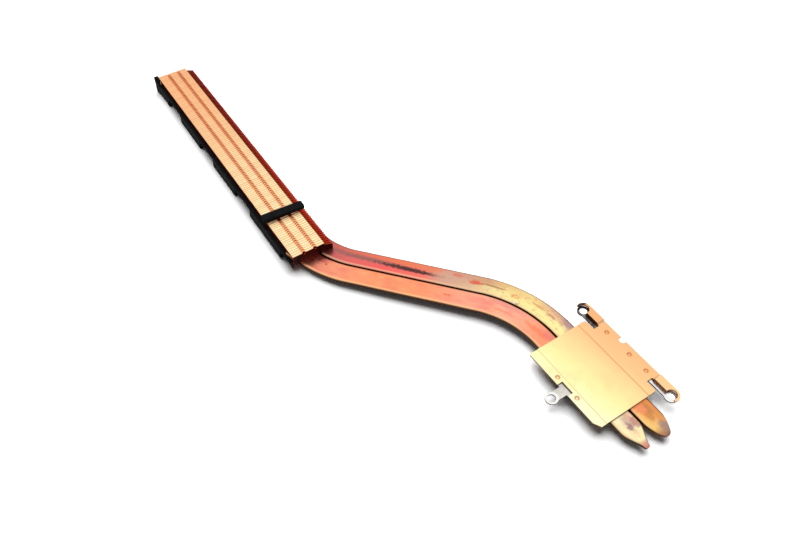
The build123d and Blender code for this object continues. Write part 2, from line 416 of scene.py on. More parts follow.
def pipe_stain_group():
    """A stain on a pipe: a ragged oval at a place along and across it."""
    labels = ("Along", "Across", "Place", "Aside", "Length", "Width", "Ragged")
    sockets = [(label, "NodeSocketFloat") for label in labels]
    group, given, result = new_group("pipe_stain", sockets, ("Mask",))
    squares = []
    for label, middle, size in (("Along", "Place", "Length"), ("Across", "Aside", "Width")):
        apart = work(group, "SUBTRACT", given[label], given[middle])
        share = work(group, "DIVIDE", apart, given[size])
        squares.append(times(group, share, share))
    oval = work(group, "SQRT", work(group, "ADD", squares[0], squares[1]))
    uneven = times(group, work(group, "SUBTRACT", given["Ragged"], 0.5), 1.6)
    group.links.new(rise(group, work(group, "ADD", oval, uneven), 1.05, 0.4), result["Mask"])
    return group


pipe_stain = pipe_stain_group()


def stain_over(tree, base, along, across, ragged, rows):
    """Stains over a pipe's colour. A row is a place, an offset, a length, a width, a tint, an amount."""
    for place, aside, length, width, colour, amount in rows:
        spec = {"Along": along, "Across": across, "Place": place, "Aside": aside}
        spec.update({"Length": length, "Width": width, "Ragged": ragged})
        mask = put(tree, "ShaderNodeGroup", spec, node_tree=pipe_stain).outputs[0]
        base = mix_colour(tree, times(tree, mask, amount), base, colour)
    return base


def pipe_cloud(tree, along, across, stretch, seed, detail, roughness):
    """Soft noise that lies along a pipe, with its own stretch along and across."""
    spec = {"X": times(tree, along, stretch[0]), "Y": times(tree, across, stretch[1]), "Z": seed}
    laid = put(tree, "ShaderNodeCombineXYZ", spec).outputs[0]
    return cloud(tree, laid, 1.0, detail, roughness)


def painted_side_light(tree, base, highlight_tint, highlight_amount, line_start, side_shade_tint):
    """A pipe's rounded sides with light painted in: a painted highlight along the left rim, a painted
    shade line on the right, and dark painted shade below both.
    """
    highlight_start, highlight_full = -0.74, -0.84
    line_run = 0.1
    side_shade_start, side_shade_full = 0.7, 0.48
    across = attribute(tree, "across")
    rim_highlight = times(tree, rise(tree, across, highlight_start, highlight_full), highlight_amount)
    painted_sheen = mix_colour(tree, rim_highlight, base, highlight_tint)
    far_edge_shade = times(tree, rise(tree, across, line_start, line_start + line_run), 0.85)
    lined = mix_colour(tree, far_edge_shade, painted_sheen, tint(96, 54, 38))
    dark = rise(tree, attribute(tree, "upward"), side_shade_start, side_shade_full)
    return mix_colour(tree, times(tree, dark, 0.95), lined, side_shade_tint)


def left_pipe_material():
    """Drawn copper of the left pipe: salmon and orange in ragged drifts, cream and purple at the tip."""
    material, tree, shader = new_material("left_pipe_copper")
    worn = wear(tree, stretch=(0.5, 0.5, 0.5), scratch_amount=0.5)
    along = attribute(tree, "along")
    across = attribute(tree, "across")
    base = tints_along(
        tree,
        along,
        pipe_colour_reach,
        (
            (0, tint(206, 134, 118)),
            (1.8, tint(224, 166, 140)),
            (3.2, tint(255, 244, 186)),
            (13, tint(254, 240, 196)),
            (32, tint(253, 158, 114)),
            (50, tint(253, 158, 120)),
            (66, tint(254, 182, 152)),
            (84, tint(254, 170, 142)),
            (100, tint(252, 158, 114)),
            (118, tint(250, 158, 112)),
            (134, tint(250, 160, 122)),
            (147, tint(240, 138, 118)),
        ),
    )
    drift = pipe_cloud(tree, along, across, (0.11, 0.9), seed=2.0, detail=4.0, roughness=0.6)
    rosy = mix_colour(tree, times(tree, rise(tree, drift, 0.46, 0.68), 0.55), base, tint(240, 122, 112))
    veil = pipe_cloud(tree, along, across, (0.16, 1.6), seed=7.0, detail=4.0, roughness=0.55)
    pale = times(tree, rise(tree, veil, 0.5, 0.72), 0.4)
    warm = mix_colour(tree, pale, rosy, tint(255, 184, 130))
    ragged = pipe_cloud(tree, along, across, (0.9, 3.6), seed=4.0, detail=4.0, roughness=0.6)
    stains = (
        (10.4, 0.2, 3.6, 0.6, tint(206, 170, 156), 0.8),
        (8.4, 0.0, 2.3, 0.38, tint(160, 118, 122), 0.8),
        (9.0, 0.62, 3.2, 0.36, tint(190, 130, 122), 0.8),
        (12.6, 0.5, 2.4, 0.5, tint(230, 180, 150), 0.7),
        (55.0, 0.05, 7.0, 0.36, tint(255, 130, 90), 0.6),
        (49.5, 0.5, 5.0, 0.42, tint(232, 128, 122), 0.6),
        (68.5, 0.62, 9.0, 0.4, tint(236, 146, 138), 0.65),
        (70.2, -0.16, 5.0, 0.2, tint(246, 128, 110), 0.5),
        (78.0, 0.2, 8.0, 0.45, tint(246, 142, 128), 0.5),
        (90.8, 0.02, 1.8, 0.14, tint(232, 100, 58), 0.7),
        (139.5, 0.24, 0.6, 0.09, tint(140, 70, 52), 0.9),
        (143.0, 0.55, 6.0, 0.4, tint(226, 108, 102), 0.7),
    )
    stained = stain_over(tree, warm, along, across, ragged, stains)
    # Painted highlight on the left rim, painted shade on the right edge and down the sides.
    colour = painted_side_light(
        tree, stained, tint(255, 206, 150), highlight_amount=0.6, line_start=0.84, side_shade_tint=tint(34, 18, 14)
    )
    finish_metal(tree, shader, colour, worn, (0.24, 0.4), strength=0.25, depth=0.00003)
    return material


def right_pipe_material():
    """Drawn copper of the right pipe: rosy under a grey smear by the fins, then brassy and blotched."""
    material, tree, shader = new_material("right_pipe_copper")
    worn = wear(tree, stretch=(0.5, 0.5, 0.5), scratch_amount=0.6)
    along = attribute(tree, "along")
    across = attribute(tree, "across")
    left_half = tints_along(
        tree,
        along,
        pipe_colour_reach,
        (
            (0, tint(150, 108, 92)),
            (2.0, tint(196, 146, 106)),
            (4.5, tint(246, 200, 124)),
            (9, tint(244, 164, 92)),
            (13, tint(240, 150, 86)),
            (40, tint(255, 244, 172)),
            (66, tint(254, 238, 160)),
            (80, tint(250, 228, 162)),
            (90, tint(226, 188, 150)),
            (101, tint(220, 164, 142)),
            (109, tint(246, 122, 108)),
            (124, tint(246, 104, 100)),
            (138, tint(226, 108, 104)),
            (147, tint(190, 104, 100)),
        ),
    )
    right_half = tints_along(
        tree,
        along,
        pipe_colour_reach,
        (
            (0, tint(140, 102, 90)),
            (2.5, tint(176, 140, 112)),
            (5.0, tint(230, 160, 92)),
            (13, tint(236, 146, 78)),
            (44, tint(206, 160, 140)),
            (56, tint(224, 172, 142)),
            (66, tint(246, 216, 146)),
            (74, tint(242, 208, 140)),
            (84, tint(216, 166, 128)),
            (96, tint(214, 158, 138)),
            (104, tint(234, 136, 104)),
            (118, tint(240, 126, 92)),
            (134, tint(224, 118, 98)),
            (147, tint(200, 104, 94)),
        ),
    )
    drift = pipe_cloud(tree, along, across, (0.12, 1.1), seed=5.0, detail=5.0, roughness=0.65)
    aside = work(tree, "ADD", across, times(tree, work(tree, "SUBTRACT", drift, 0.5), 1.5))
    base = mix_colour(tree, rise(tree, aside, -0.3, 0.45), left_half, right_half)
    blotch = pipe_cloud(tree, along, across, (0.45, 2.2), seed=9.0, detail=5.0, roughness=0.7)
    by_plate = times(tree, rise(tree, along, 40.0, 50.0), rise(tree, along, 104.0, 88.0))
    blotched = times(tree, times(tree, rise(tree, blotch, 0.52, 0.66), by_plate), 0.55)
    mottled = mix_colour(tree, blotched, base, tint(206, 142, 110))
    ragged = pipe_cloud(tree, along, across, (0.8, 3.6), seed=1.0, detail=5.0, roughness=0.65)
    smear_middle, smear_lean = 125.0, 0.0073
    lean = times(tree, work(tree, "SUBTRACT", along, smear_middle), smear_lean)
    leaning = work(tree, "SUBTRACT", across, lean)
    smears = (
        (127.0, 0.02, 32.0, 0.36, tint(152, 102, 98), 0.85),
        (114.5, -0.04, 16.0, 0.3, tint(84, 54, 52), 0.95),
    )
    smeared = stain_over(tree, mottled, along, leaning, ragged, smears)
    stains = (
        (97.5, 0.0, 9.0, 0.9, tint(214, 172, 150), 0.6),
        (88.2, 0.02, 3.4, 0.34, tint(224, 104, 84), 0.95),
        (95.4, 0.42, 2.6, 0.26, tint(226, 122, 102), 0.8),
        (81.5, 0.06, 6.0, 0.15, tint(164, 116, 84), 0.75),
        (72.4, -0.2, 2.3, 0.3, tint(232, 138, 82), 0.8),
        (72.2, -0.2, 1.3, 0.16, tint(250, 216, 140), 0.8),
        (63.0, 0.12, 4.0, 0.2, tint(226, 150, 100), 0.7),
        (57.0, 0.06, 3.0, 0.18, tint(212, 130, 112), 0.75),
        (51.0, 0.62, 3.4, 0.42, tint(176, 142, 146), 0.75),
        (71.6, -0.8, 1.5, 0.14, tint(232, 224, 214), 0.9),
        (70.2, -0.86, 0.8, 0.1, tint(90, 62, 52), 0.8),
        (3.6, 0.22, 2.6, 0.42, tint(168, 138, 128), 0.85),
        (8.6, -0.1, 2.6, 0.4, tint(200, 136, 84), 0.7),
        (12.0, -0.3, 3.0, 0.5, tint(246, 150, 112), 0.75),
        (10.6, 0.3, 3.2, 0.3, tint(196, 132, 92), 0.7),
        (7.0, -0.72, 6.0, 0.3, tint(252, 208, 120), 0.7),
    )
    stained = stain_over(tree, smeared, along, across, ragged, stains)
    # Painted highlight on the left rim, painted shade on the right edge and down the sides.
    colour = painted_side_light(
        tree, stained, tint(255, 214, 172), highlight_amount=0.45, line_start=0.74, side_shade_tint=tint(84, 46, 26)
    )
    finish_metal(tree, shader, colour, worn, (0.26, 0.44), strength=0.25, depth=0.00003)
    return material


left_pipe = build_pipe("pipe_pinched", -pipe_shift, pinched_tip_y, pinched_size, sink=0.03, seed=3.0)
left_pipe.data.materials.append(left_pipe_material())
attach(left_pipe, "root")
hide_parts("heat_pipe_left")
right_pipe = build_pipe("pipe_domed", pipe_shift, domed_tip_y, domed_size, sink=0.06, seed=8.0)
right_pipe.data.materials.append(right_pipe_material())
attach(right_pipe, "root")
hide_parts("heat_pipe_right")

# Fin stack: folded copper sheets that hook into each other, soldered across the two pipes.
# Every sheet has a web, a foot and a top flange; a tongue of each flange drops into the round
# notches of the next sheet, in two rows. The right end is left open beside the flange.
fin_low, fin_high = box_mm("fin_stack_long")
stack_end = box_mm("fin_end_far")[1][1]
short_start = box_mm("fin_end_near")[0][1]
short_count = 18
long_start = fin_low[1]
long_count = 101
fin_left = fin_low[0]
fin_under = fin_low[2]
fin_top = fin_high[2]
fin_depth = fin_high[0] - fin_low[0]
fin_sheet = 0.2
fin_pitch = 1.165
fin_reach = 1.125
fin_bend = 0.3
half_bend = fin_bend * math.pi / 4
flange_edge = fin_reach - fin_bend + half_bend
foot_flat = 0.7
cap_depth = 13.6
cap_edges = (0.3, 0.25)
interlock_gap = 4.8
interlocks = (interlock_gap, 2 * interlock_gap)
notch_radius = 0.75
notch_turns = (-90, -60, -30, 0, 30, 60, 90)
notch_lip = 0.03
tongue_turn = 60
tongue_short = 0.14
tongue_dip = 0.09
last_fin_scallop = 0.3
fin_wander = 0.012
flange_sag = 0.05
sag_spread = (-0.02, 0.03)
fin_settling = 0.02
web_start = -0.8
bend_rows = (web_start, -0.55, -0.236, -0.13, -notch_lip, notch_lip, 0.13, 0.236, 0.5, 0.78, flange_edge)
# Amounts of painted shade at rows along each sheet's fold; the tongues get full painted shade.
fold_shade_marks = {notch_lip: 0.7, 0.13: 0.5, 0.236: 0.16}
foot_rows = 6
gap_row = foot_rows + bend_rows.index(-notch_lip)
open_web_rows = foot_rows + 2
open_web_middle = 1.2
shoulder = ((cap_depth + 0.3, 0.8), (cap_depth + 2.0, 1.45), (fin_depth, 2.0))


def fin_path(travel, drop):
    """Outer line of the bent sheet near its top edge, by distance from the middle of the bend."""
    if travel < -half_bend:
        return (0.0, fin_top - fin_bend + travel + half_bend), (1.0, 0.0)
    if travel < half_bend:
        angle = (travel + half_bend) / fin_bend
        spot = (fin_bend - fin_bend * math.cos(angle), fin_top - fin_bend + fin_bend * math.sin(angle))
        return spot, (math.cos(angle), -math.sin(angle))
    along = travel - half_bend
    sag = drop * (along / (fin_reach - fin_bend)) ** 2
    return (fin_bend + along, fin_top - sag), (0.0, -1.0)


def clear_of_notch(travel, notch, edge):
    """A row moved off the notch: towards the flange's edge if it is above it, down the web if below."""
    if notch < notch_lip or travel == web_start:
        return travel
    if travel > 0:
        return notch + (travel - notch_lip) / (flange_edge - notch_lip) * (edge - notch)
    return -notch + (travel + notch_lip) / (-web_start - notch_lip) * (-web_start - notch)


def fin_section(notch, tongue, drop, scallop):
    """The sheet's outer line at one place across, from foot to tongue. Each spot has a mark of painted
    shade, for the fold and the tongue.
    """
    spots = [((fin_reach, fin_under), (0.0, 1.0), 0.0), ((foot_flat, fin_under), (0.0, 1.0), 0.0)]
    for degrees in (0, 30, 60, 90):
        angle = math.radians(degrees)
        spot = (fin_bend - fin_bend * math.sin(angle), fin_under + fin_bend - fin_bend * math.cos(angle))
        spots.append((spot, (math.sin(angle), math.cos(angle)), 0.0))
    edge = flange_edge - scallop * notch / notch_radius
    for travel in bend_rows:
        spots.append((*fin_path(clear_of_notch(travel, notch, edge), drop), fold_shade_marks.get(travel, 0.0)))
    if tongue:
        end = fin_pitch + fin_path(notch, drop)[0][0] - tongue_short
        for share in (0.5, 1.0):
            spot = (fin_reach + (end - fin_reach) * share, fin_top - drop - tongue_dip * share)
            spots.append((spot, (0.0, -1.0), 1.0))
    return spots


def fin_columns(hooked):
    """Places across a fin, each with the notch depth there and whether the tongue is that wide."""
    columns = [(0.0, 0.0, False), (cap_edges[0], 0.0, False)]
    for middle in interlocks:
        for turn in notch_turns:
            angle = math.radians(turn)
            spot = middle + notch_radius * math.sin(angle)
            columns.append((spot, notch_radius * math.cos(angle), hooked and abs(turn) <= tongue_turn))
        columns.append((middle + interlock_gap / 2, 0.0, False))
    return columns + [(cap_depth - cap_edges[1], 0.0, False), (cap_depth, 0.0, False)]


def join_skins(points, faces, outer, inner, skin):
    """Adds the two skins of a sheet, the outer one turned over, and closes them round every edge."""
    base = len(points)
    count = len(outer)
    points.extend(outer + inner)
    edges = set()
    for face in skin:
        faces.append(tuple(base + corner for corner in reversed(face)))
        faces.append(tuple(base + count + corner for corner in face))
        edges.update(zip(face, face[1:] + face[:1]))
    for corner, following in sorted(edges):
        if (following, corner) not in edges:
            here, beside = base + corner, base + following
            faces.append((here, beside, count + beside, count + here))


def add_fin(points, faces, start_y, hooked, rng):
    """One folded sheet: its capped part, then the open web on the right. Returns its marks of painted
    shade at the folds and tongue.
    """
    shift_y = rng.uniform(-fin_wander, fin_wander)
    drop = flange_sag + rng.uniform(*sag_spread)
    lean = rng.uniform(-fin_settling, 0.0)
    scallop = 0.0 if hooked else last_fin_scallop
    columns = fin_columns(hooked)
    outer, inner, skin, marks, rows_of = [], [], [], [], []
    for x, notch, tongue in columns:
        rows = []
        for (y, z), (inward_y, inward_z), mark in fin_section(notch, tongue, drop, scallop):
            rows.append(len(outer))
            settle = lean * max(z - fin_under, 0) / (fin_top - fin_under)
            place = Vector((fin_left + x, start_y + shift_y + y, z + settle))
            outer.append(place)
            inner.append(place + Vector((0.0, inward_y, inward_z)) * fin_sheet)
            marks.append(mark)
        rows_of.append(rows)
    for left in range(len(columns) - 1):
        here, beside = rows_of[left], rows_of[left + 1]
        in_notch = max(columns[left][1], columns[left + 1][1]) > notch_lip
        for row in range(min(len(here), len(beside)) - 1):
            if not (in_notch and row == gap_row):
                skin.append((here[row], here[row + 1], beside[row + 1], beside[row]))
    before = rows_of[-1][:open_web_rows]
    for x, cut_down in shoulder:
        rows = []
        for number in range(open_web_rows):
            base = outer[rows_of[0][number]]
            levels = [base[2]] * foot_rows + [fin_under + open_web_middle, fin_top - cut_down]
            place = Vector((fin_left + x, base[1], levels[number]))
            rows.append(len(outer))
            outer.append(place)
            inner.append(place + inner[rows_of[0][number]] - base)
            marks.append(0.0)
        for number in range(open_web_rows - 1):
            skin.append((before[number], before[number + 1], rows[number + 1], rows[number]))
        before = rows
    join_skins(points, faces, outer, inner, skin)
    return marks + marks


def add_tab(points, faces, start_y, way):
    """The side tab of an end fin: a narrow strip that leaves the web's left edge and flares out."""
    steps = 6
    tab_root = 0.02
    tab_length = 4.35
    tab_flare = 0.9
    tab_curve = 1.15
    tab_levels = (2.45, 3.55)
    base = len(points)
    for step in range(steps + 1):
        share = step / steps
        y = start_y + way * (tab_root + (tab_length - tab_root) * share)
        x = fin_left - tab_flare * share**tab_curve
        for z in tab_levels:
            points.append(Vector((x, y, z)))
            points.append(Vector((x + fin_sheet, y, z)))
    for step in range(steps):
        low = base + 4 * step
        for first, second in ((0, 1), (1, 3), (3, 2), (2, 0)):
            quad = (low + first, low + second, low + 4 + second, low + 4 + first)
            faces.append(quad if way < 0 else tuple(reversed(quad)))
    last = base + 4 * steps
    for quad in ((base, base + 1, base + 3, base + 2), (last, last + 2, last + 3, last + 1)):
        faces.append(tuple(reversed(quad)) if way < 0 else quad)
    return 4 * (steps + 1)


def away_from(tree, value, middle):
    """How far a value is from a middle, on either side."""
    return work(tree, "ABSOLUTE", work(tree, "SUBTRACT", value, middle))


def fin_material():
    """Bright folded copper, with light painted in: flanges pale near and orange far as painted
    reflection, orange painted shade at the hooks and folds, dark red painted shade inside the stack and a
    near black front face.
    """
    material, tree, shader = new_material("fin_copper")
    worn = wear(tree, stretch=(0.35, 3.0, 3.0), scratch_amount=0.3)
    place = split(tree, position_mm(tree))
    normal = split(tree, put(tree, "ShaderNodeNewGeometry").outputs["Normal"])
    shade_start, shade_end = 104.0, 232.0
    # Flange tops go from pale near to orange far: a painted reflection gradient.
    far = rise(tree, place["Y"], shade_start, shade_end)
    top = mix_colour(tree, far, tint(255, 250, 198), tint(255, 200, 148))
    varied = mix_colour(tree, times(tree, attribute(tree, "fin_shade"), 0.3), top, tint(250, 200, 136))
    # Orange painted shade round the hook columns, then on the tongues and folds, where neighbouring
    # sheets shade them.
    beside = [away_from(tree, place["X"], fin_left + row) for row in interlocks]
    nearest = work(tree, "MINIMUM", beside[0], beside[1])
    hook_shade = times(tree, rise(tree, nearest, 1.15, 0.6), 0.58)
    hook_shaded = mix_colour(tree, hook_shade, varied, tint(255, 140, 78))
    hooked = mix_colour(tree, times(tree, attribute(tree, "hook_and_fold_shade"), 0.8), hook_shaded, tint(255, 132, 74))
    near_top = rise(tree, place["Z"], fin_top - 0.45, fin_top - 0.3)
    flange = times(tree, rise(tree, normal["Z"], 0.45, 0.9), near_top)
    # Webs inside the stack painted dark red as shade and reflection between sheets; the last web, open at
    # the back, is left lighter.
    painted_web_shade = mix_colour(tree, far, tint(240, 94, 56), tint(204, 66, 38))
    last_web = stack_end - fin_reach
    open_back = rise(tree, place["Y"], last_web + 0.08, last_web + 0.16)
    webbed = mix_colour(tree, open_back, painted_web_shade, tint(226, 138, 94))
    folded = mix_colour(tree, flange, webbed, hooked)
    side_tab = rise(tree, place["X"], fin_left - 0.02, fin_left - 0.08)
    base = mix_colour(tree, side_tab, folded, tint(214, 142, 100))
    fin_right = fin_left + fin_depth
    outer_edge = rise(tree, place["X"], fin_right - 0.45, fin_right - 0.2)
    edged = mix_colour(tree, times(tree, outer_edge, 0.6), base, tint(150, 112, 112))
    # The first web's front face is painted near black: painted shade and dark reflection.
    first_web = rise(tree, place["Y"], short_start + 0.25, short_start + 0.1)
    front_face_shade = times(tree, first_web, rise(tree, normal["Y"], -0.4, -0.8))
    painted_dark = mix_colour(tree, front_face_shade, edged, tint(52, 16, 12))
    finish_metal(tree, shader, painted_dark, worn, (0.26, 0.4), strength=0.2, depth=0.00002)
    return material


fin_rng = random.Random(41)
fin_copper = fin_material()
fin_groups = (
    ("fins_near_end", "fin_end_near", short_start, range(0, 1), short_count, 1),
    ("fins_short_block", "fin_stack_short", short_start, range(1, short_count), short_count, 0),
    ("fins_long_block", "fin_stack_long", long_start, range(0, long_count - 1), long_count, 0),
    ("fins_far_end", "fin_end_far", long_start, range(long_count - 1, long_count), long_count, -1),
)
for label, node, block_start, numbers, block_count, tab_way in fin_groups:
    points, faces, shades, hook_and_fold_shade = [], [], [], []
    for number in numbers:
        start_y = block_start + number * fin_pitch
        marks = add_fin(points, faces, start_y, number < block_count - 1, fin_rng)
        hook_and_fold_shade += marks
        shades += [fin_rng.random()] * len(marks)
    if tab_way:
        tab_points = add_tab(points, faces, start_y + (fin_sheet if tab_way < 0 else 0.0), tab_way)
        shades += [0.5] * tab_points
        hook_and_fold_shade += [0.0] * tab_points
    piece = make_piece(label, points, faces, crease_degrees=50)
    store(piece, "fin_shade", shades)
    store(piece, "hook_and_fold_shade", hook_and_fold_shade)
    piece.data.materials.append(fin_copper)
    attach(piece, "root")
    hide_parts(node)

# Cold plate: one stamped copper sheet across both pipes, its middle pressed up for the processor.
# The two right corners are joggled tongues hooked round the screws, and five studs are clinched
# down through the steel. The stamped edges are slightly rounded.
plate_edge = 0.08
pad_half = 9.5
tongue_root = 13.0
tongue_side = 13.0
hook_end = 23.0
left_clinch_x = -11.05
right_screw_x = 15.9
clinches = [(left_clinch_x, y) for y in (4.85, -4.85)] + [(right_screw_x, y) for y in (9.4, -1.8, -9.8)]


def soften(node, width):
    """Rounds the stamped edges of a CAD node, which keeps its own mesh, to a width in millimetres."""
    weld = node.modifiers.new("weld", "WELD")
    weld.merge_threshold = 0.002 * mm
    flat = node.modifiers.new("flat", "DECIMATE")
    flat.decimate_type = "DISSOLVE"
    flat.angle_limit = math.radians(1)
    edge = node.modifiers.new("edge", "BEVEL")
    edge.width = width * mm
    edge.segments = 3
    edge.limit_method = "ANGLE"
    edge.angle_limit = math.radians(40)
    edge.harden_normals = True


def distance_to(tree, place, x, y):
    """Distance in plan from a point on the piece to an upright line."""
    level = put(tree, "ShaderNodeCombineXYZ", {"X": place["X"], "Y": place["Y"], "Z": 0.0}).outputs[0]
    spec = {0: level, 1: (x, y, 0.0)}
    return put(tree, "ShaderNodeVectorMath", spec, operation="DISTANCE").outputs["Value"]


def plate_material():
    """Rolled copper sheet: pale gold on the left to peach on the right as painted reflection, with
    painted shade at the creases, dimples and cut edges and a back hook end painted dark.
    """
    material, tree, shader = new_material("plate_copper")
    worn = wear(tree, stretch=(2.4, 0.1, 2.4), scratch_amount=0.6)
    place = split(tree, position_mm(tree))
    tint_lean, tint_wobble = 0.15, 5.0
    left_reach, tint_reach = 16.0, 36.0
    aside = work(tree, "ADD", place["X"], times(tree, place["Y"], tint_lean))
    wobble = times(tree, work(tree, "SUBTRACT", worn["Tarnish"], 0.5), tint_wobble)
    across_plate = work(tree, "ADD", work(tree, "ADD", aside, wobble), left_reach)
    # Pale gold on the left to peach on the right: a painted reflection of the bright ceiling.
    base = tints_along(
        tree,
        across_plate,
        tint_reach,
        (
            (2, tint(255, 253, 214)),
            (7, tint(255, 252, 190)),
            (13, tint(255, 243, 170)),
            (18, tint(254, 230, 163)),
            (23, tint(254, 214, 154)),
            (27, tint(254, 202, 144)),
            (34, tint(252, 192, 136)),
        ),
    )
    haze = times(tree, rise(tree, worn["Tarnish"], 0.45, 0.7), 0.25)
    hazed = mix_colour(tree, haze, base, tint(250, 212, 150))
    past_root = rise(tree, away_from(tree, place["Y"], 0.0), tongue_root, tongue_root + 1.2)
    raised_side = times(tree, past_root, rise(tree, place["X"], tongue_side - 0.5, tongue_side))
    back_one = rise(tree, place["Y"], -1.0, 1.0)
    tongue_tint = mix_colour(tree, back_one, tint(250, 214, 158), tint(248, 182, 128))
    tongues = mix_colour(tree, times(tree, raised_side, 0.7), hazed, tongue_tint)
    # Painted shade along the two steps where the pad is pressed up.
    right_crease_shade = rise(tree, away_from(tree, place["X"], pad_half), 0.34, 0.1)
    crease_shaded = mix_colour(tree, times(tree, right_crease_shade, 0.75), tongues, tint(228, 138, 82))
    left_crease_shade = rise(tree, away_from(tree, place["X"], -pad_half), 0.26, 0.06)
    crease_shaded = mix_colour(tree, times(tree, left_crease_shade, 0.3), crease_shaded, tint(226, 186, 116))
    far_away = 100.0
    nearest = far_away
    for x, y in clinches:
        nearest = work(tree, "MINIMUM", distance_to(tree, place, x, y), nearest)
    # Painted shade in a ring round each dimple.
    ring = times(tree, rise(tree, nearest, 1.1, 0.8), rise(tree, nearest, 0.3, 0.45))
    dimple_shaded = mix_colour(tree, times(tree, ring, 0.6), crease_shaded, tint(228, 142, 78))
    # Steep cut edges, away from the pad's steps, painted dark brown as shade.
    upright = split(tree, put(tree, "ShaderNodeNewGeometry").outputs["Normal"])["Z"]
    from_step = away_from(tree, away_from(tree, place["X"], 0.0), pad_half)
    edge_shade = times(tree, rise(tree, upright, 0.6, 0.2), rise(tree, from_step, 0.2, 0.35))
    edged = mix_colour(tree, times(tree, edge_shade, 0.95), dimple_shaded, tint(98, 48, 26))
    # The end of the back hook painted near black: painted shade and dark reflection.
    painted_dark = times(tree, rise(tree, place["Y"], hook_end - 0.8, hook_end), 0.92)
    painted_dark_back = mix_colour(tree, painted_dark, edged, tint(50, 40, 38))
    scratched = mix_colour(tree, times(tree, worn["Scratches"], 0.3), painted_dark_back, tint(214, 160, 106))
    finish_metal(tree, shader, scratched, worn, (0.26, 0.38), strength=0.16, depth=0.00002)
    return material


cold_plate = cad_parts["cold_plate"]
soften(cold_plate, plate_edge)
cold_plate.material_slots[0].material = plate_material()

# Spring leaves: satin stainless strip, blanked and clinched under the plate's flanges.
# The screw rings and the front arm are painted bright as reflection, the rings also rubbed, and the back
# end on the right is painted dark as shade and dark reflection.
steel_edge = 0.1
left_screw_x = -17.8
right_screw_y = 21.4
screw_ring = 2.7
strip_left = 11.0
front_arm = -11.0
back_arm = 11.5


def steel_material():
    """Stainless spring strip: satin arms, with bright rings and front arm and a dark back end painted in
    as reflection and shade.
    """
    material, tree, shader = new_material("spring_steel")
    worn = wear(tree, stretch=(0.4, 3.0, 3.0), scratch_amount=0.8)
    place = split(tree, position_mm(tree))
    dulled = rise(tree, worn["Tarnish"], 0.35, 0.7)
    satin = mix_colour(tree, dulled, tint(226, 221, 212), tint(200, 194, 186))
    on_strip = rise(tree, place["X"], strip_left, strip_left + 1.0)
    # The front arm and two screw rings painted near white: painted reflection, over real rubbing on the
    # rings.
    painted_sheen = times(tree, rise(tree, place["Y"], front_arm, front_arm - 1.0), on_strip)
    for x, y in ((left_screw_x, 0.0), (right_screw_x, -right_screw_y)):
        ring = rise(tree, distance_to(tree, place, x, y), screw_ring, screw_ring - 0.4)
        painted_sheen = work(tree, "MAXIMUM", painted_sheen, ring)
    bright = mix_colour(tree, times(tree, painted_sheen, 0.85), satin, tint(250, 249, 246))
    # The back end of the strip painted dark, patchy by the tarnish: painted shade and dark reflection.
    painted_dark_back = times(tree, rise(tree, place["Y"], back_arm, back_arm + 1.5), on_strip)
    patchy = times(tree, painted_dark_back, rise(tree, worn["Tarnish"], 0.68, 0.5))
    base = mix_colour(tree, times(tree, patchy, 0.92), bright, tint(58, 46, 42))
    # Steep sides painted dark as shade.
    upright = split(tree, put(tree, "ShaderNodeNewGeometry").outputs["Normal"])["Z"]
    edged = mix_colour(tree, times(tree, rise(tree, upright, 0.92, 0.55), 0.95), base, tint(40, 36, 34))
    finish_metal(tree, shader, edged, worn, (0.18, 0.34), strength=0.2, depth=0.00002)
    return material


spring_steel = steel_material()
for node_name in ("spring_leaf_left", "spring_strip_right"):
    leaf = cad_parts[node_name]
    soften(leaf, steel_edge)
    leaf.material_slots[0].material = spring_steel

# Foam gasket and foam bar: black closed-cell foam with a pressure-sensitive back.
# The gasket is die-cut with hanging tabs on a thin backing and stuck along the left face of the fins,
# where its far end has come up; the bar lies across the stack just past the seam between its blocks.
def foam_material():
    """Black closed-cell foam: matt, with small pores and a faint grey bloom."""
    material, tree, shader = new_material("black_foam")
    place = position_mm(tree)
    bloom = rise(tree, cloud(tree, place, 0.8, detail=4.0), 0.35, 0.7)
    base = mix_colour(tree, bloom, (0.004, 0.004, 0.0045, 1.0), (0.009, 0.009, 0.01, 1.0))
    tree.links.new(base, shader.inputs["Base Color"])
    shader.inputs["Roughness"].default_value = 0.85
    shader.inputs["Specular IOR Level"].default_value = 0.1
    pores = put(tree, "ShaderNodeTexVoronoi", {"Vector": place, "Scale": 5.0}).outputs[0]
    pitted = put(tree, "ShaderNodeBump", {"Height": pores, "Strength": 0.6, "Distance": 0.00008})
    tree.links.new(pitted.outputs[0], shader.inputs["Normal"])
    return material


def foam_piece(label, layers, place, cell):
    """A die-cut foam shape: outlines thickened, remeshed together to foam cells and softened."""
    mesh = bpy.data.meshes.new(label)
    cut = bmesh.new()
    for outline, lift, depth in layers:
        ring = [cut.verts.new(place @ Vector((x, y, lift)) * mm) for x, y in outline]
        face = cut.faces.new(ring)
        grown = bmesh.ops.extrude_face_region(cut, geom=[face])
        moved = [item for item in grown["geom"] if isinstance(item, bmesh.types.BMVert)]
        away = (place.to_3x3() @ Vector((0, 0, depth))) * mm
        bmesh.ops.translate(cut, verts=moved, vec=away)
    bmesh.ops.recalc_face_normals(cut, faces=cut.faces)
    cut.to_mesh(mesh)
    cut.free()
    piece = bpy.data.objects.new(label, mesh)
    bpy.context.collection.objects.link(piece)
    remesh = piece.modifiers.new("cells", "REMESH")
    remesh.mode = "VOXEL"
    remesh.voxel_size = cell * mm
    soft = piece.modifiers.new("soft", "SMOOTH")
    soft.factor = 0.5
    soft.iterations = 3
    solid = bpy.data.meshes.new_from_object(piece.evaluated_get(bpy.context.evaluated_depsgraph_get()))
    piece.modifiers.clear()
    piece.data = solid
    return piece


